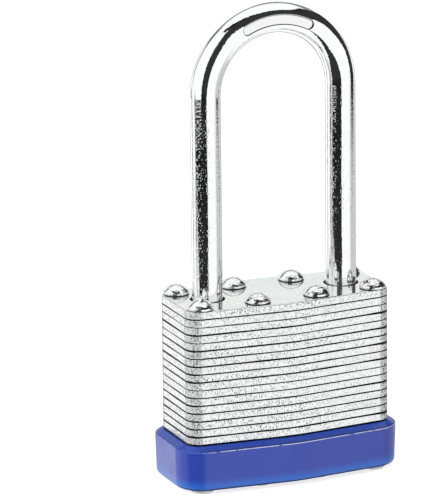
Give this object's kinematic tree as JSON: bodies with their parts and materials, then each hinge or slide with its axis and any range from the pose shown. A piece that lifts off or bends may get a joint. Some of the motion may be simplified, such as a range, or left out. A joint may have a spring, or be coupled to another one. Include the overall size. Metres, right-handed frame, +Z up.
{
  "type": "padlock",
  "caption": "Laminated steel padlock with a long hardened shackle, riveted plate case, pin-tumbler cylinder and a plastic bumper round its foot.",
  "frame": {"origin": "on the ground under the middle of the case, at the level of the rivet tails it stands on", "axes": "+Z up along the shackle legs, X along the long side of the case with the captive heel at -X and the free toe at +X, -Y towards the side of the bow with the bare name recess"},
  "size_m": [0.0436, 0.0218, 0.0882],
  "materials": {
    "plate_steel": "zinc-plated, satin, sheared edges",
    "top_plate_steel": "zinc-plated, semi-gloss",
    "rivet_steel": "plated, shiny",
    "bumper_blue": "moulded, glossy",
    "shackle_chrome": "mirror chrome",
    "inner_steel": "plain",
    "spring_steel": "drawn wire",
    "brass": "machined",
    "pin_brass": "turned"
  },
  "bodies": {
    "case": {"base_plate": "plate_steel", "case_plate_02": "plate_steel", "case_plate_03": "plate_steel", "case_plate_04": "plate_steel", "case_plate_05": "plate_steel", "case_plate_06": "plate_steel", "case_plate_07": "plate_steel", "case_plate_08": "plate_steel", "case_plate_09": "plate_steel", "case_plate_10": "plate_steel", "case_plate_11": "plate_steel", "case_plate_12": "plate_steel", "case_plate_13": "plate_steel", "case_plate_14": "plate_steel", "case_plate_15": "plate_steel", "case_plate_16": "plate_steel", "case_plate_17": "plate_steel", "case_plate_18": "plate_steel", "case_plate_19": "plate_steel", "case_plate_20": "plate_steel", "case_plate_21": "plate_steel", "top_plate": "top_plate_steel", "rivets": "rivet_steel", "bumper": "bumper_blue", "heel_retainer": "inner_steel", "shackle_spring": "spring_steel", "cylinder_housing": "brass", "spring_caps": "brass", "pin_spring_1": "spring_steel", "pin_spring_2": "spring_steel", "pin_spring_3": "spring_steel", "pin_spring_4": "spring_steel"},
    "shackle": {"shackle": "shackle_chrome"},
    "plug": {"plug": "brass", "plug_ring": "spring_steel"},
    "heel_lever": {"heel_lever": "inner_steel"},
    "toe_lever": {"toe_lever": "inner_steel"},
    "key_pin_1": {"key_pin_1": "pin_brass"},
    "key_pin_2": {"key_pin_2": "pin_brass"},
    "key_pin_3": {"key_pin_3": "pin_brass"},
    "key_pin_4": {"key_pin_4": "pin_brass"},
    "driver_pin_1": {"driver_pin_1": "pin_brass"},
    "driver_pin_2": {"driver_pin_2": "pin_brass"},
    "driver_pin_3": {"driver_pin_3": "pin_brass"},
    "driver_pin_4": {"driver_pin_4": "pin_brass"}
  },
  "joints": [
    {"name": "shackle_lift", "type": "slide", "parent": "case", "child": "shackle", "axis": [0, 0, 1], "range_m": [0, 0.01136], "deforming": ["shackle_spring"]},
    {"name": "plug_turn", "type": "hinge", "parent": "case", "child": "plug", "pos_m": [0, 0, 0.0131], "axis": [0, 0, 1], "range_deg": [0, 90]},
    {"name": "heel_lever_slide", "type": "slide", "parent": "case", "child": "heel_lever", "axis": [-1, 0, 0], "range_m": [0, 0.00127]},
    {"name": "toe_lever_slide", "type": "slide", "parent": "case", "child": "toe_lever", "axis": [1, 0, 0], "range_m": [0, 0.00127]},
    {"name": "key_pin_1_slide", "type": "slide", "parent": "plug", "child": "key_pin_1", "axis": [0, 1, 0], "range_m": [0, 0.001]},
    {"name": "key_pin_2_slide", "type": "slide", "parent": "plug", "child": "key_pin_2", "axis": [0, 1, 0], "range_m": [0, 0.0017]},
    {"name": "key_pin_3_slide", "type": "slide", "parent": "plug", "child": "key_pin_3", "axis": [0, 1, 0], "range_m": [0, 0.0013]},
    {"name": "key_pin_4_slide", "type": "slide", "parent": "plug", "child": "key_pin_4", "axis": [0, 1, 0], "range_m": [0, 0.0021]},
    {"name": "driver_pin_1_slide", "type": "slide", "parent": "case", "child": "driver_pin_1", "axis": [1, 0, 0], "range_m": [0, 0.0015], "stiffness_N_per_m": 150, "springref_m": -0.002, "deforming": ["pin_spring_1"]},
    {"name": "driver_pin_2_slide", "type": "slide", "parent": "case", "child": "driver_pin_2", "axis": [1, 0, 0], "range_m": [0, 0.0015], "stiffness_N_per_m": 150, "springref_m": -0.002, "deforming": ["pin_spring_2"]},
    {"name": "driver_pin_3_slide", "type": "slide", "parent": "case", "child": "driver_pin_3", "axis": [1, 0, 0], "range_m": [0, 0.0015], "stiffness_N_per_m": 150, "springref_m": -0.002, "deforming": ["pin_spring_3"]},
    {"name": "driver_pin_4_slide", "type": "slide", "parent": "case", "child": "driver_pin_4", "axis": [1, 0, 0], "range_m": [0, 0.0015], "stiffness_N_per_m": 150, "springref_m": -0.002, "deforming": ["pin_spring_4"]}
  ],
  "couplings": [
    {"joint": "heel_lever_slide", "follows": "plug_turn", "m_per_rad": 0.00081028},
    {"joint": "toe_lever_slide", "follows": "plug_turn", "m_per_rad": 0.00081028}
  ]
}
